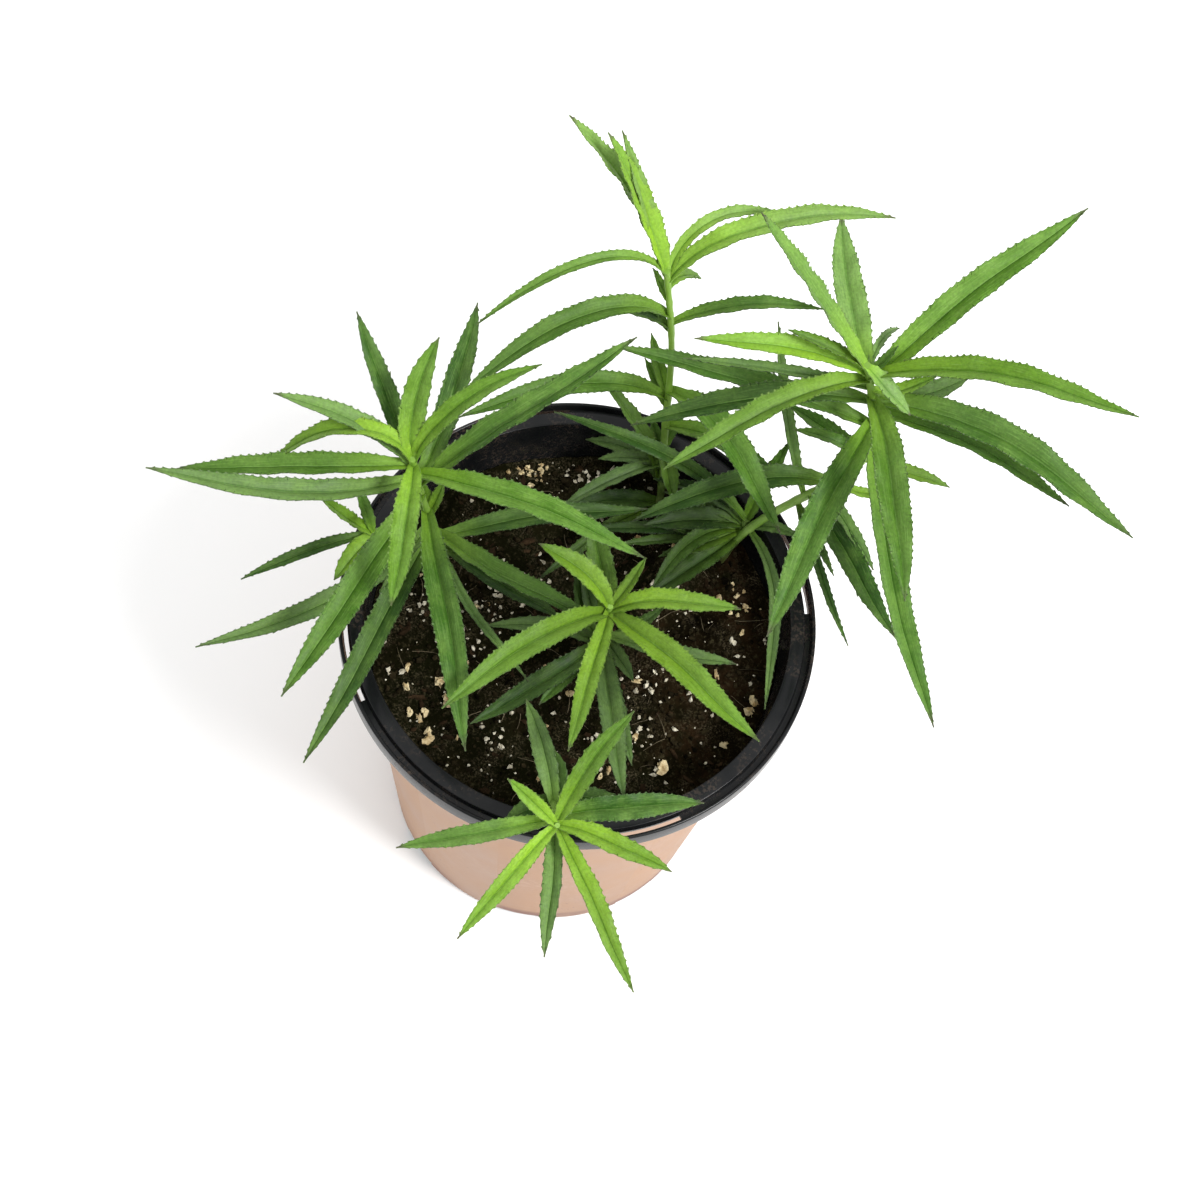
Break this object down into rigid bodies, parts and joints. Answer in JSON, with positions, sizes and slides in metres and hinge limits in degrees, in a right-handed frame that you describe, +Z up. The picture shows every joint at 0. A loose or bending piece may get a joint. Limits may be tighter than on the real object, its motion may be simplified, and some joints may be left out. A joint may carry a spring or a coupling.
{
  "type": "potted yarrow",
  "caption": "Young yarrow with narrow saw-toothed leaves on upright and leaning leafy stems, growing in a thin two-tone plastic nursery pot of potting soil.",
  "frame": {"origin": "centre of the flat underside of the pot, which stands on the ground", "axes": "+Z up, +Y to the back of the plant, where the tall stem stands, +X to its right, where a stem leans out over the rim"},
  "size_m": [0.3027, 0.2453, 0.3157],
  "materials": {
    "pot_plastic": "satin, pinkish terracotta outside, black inside and on the rim",
    "potting_soil": "matt, moist peat mix with pale perlite grains",
    "foliage": "soft sheen, fresh to deep green"
  },
  "bodies": {
    "root": {"pot": "pot_plastic", "soil": "potting_soil", "leafy_stem_left": "foliage", "leafy_stem_centre": "foliage", "leafy_stem_front": "foliage", "leafy_stem_back": "foliage", "leafy_stem_right": "foliage"}
  },
  "joints": []
}
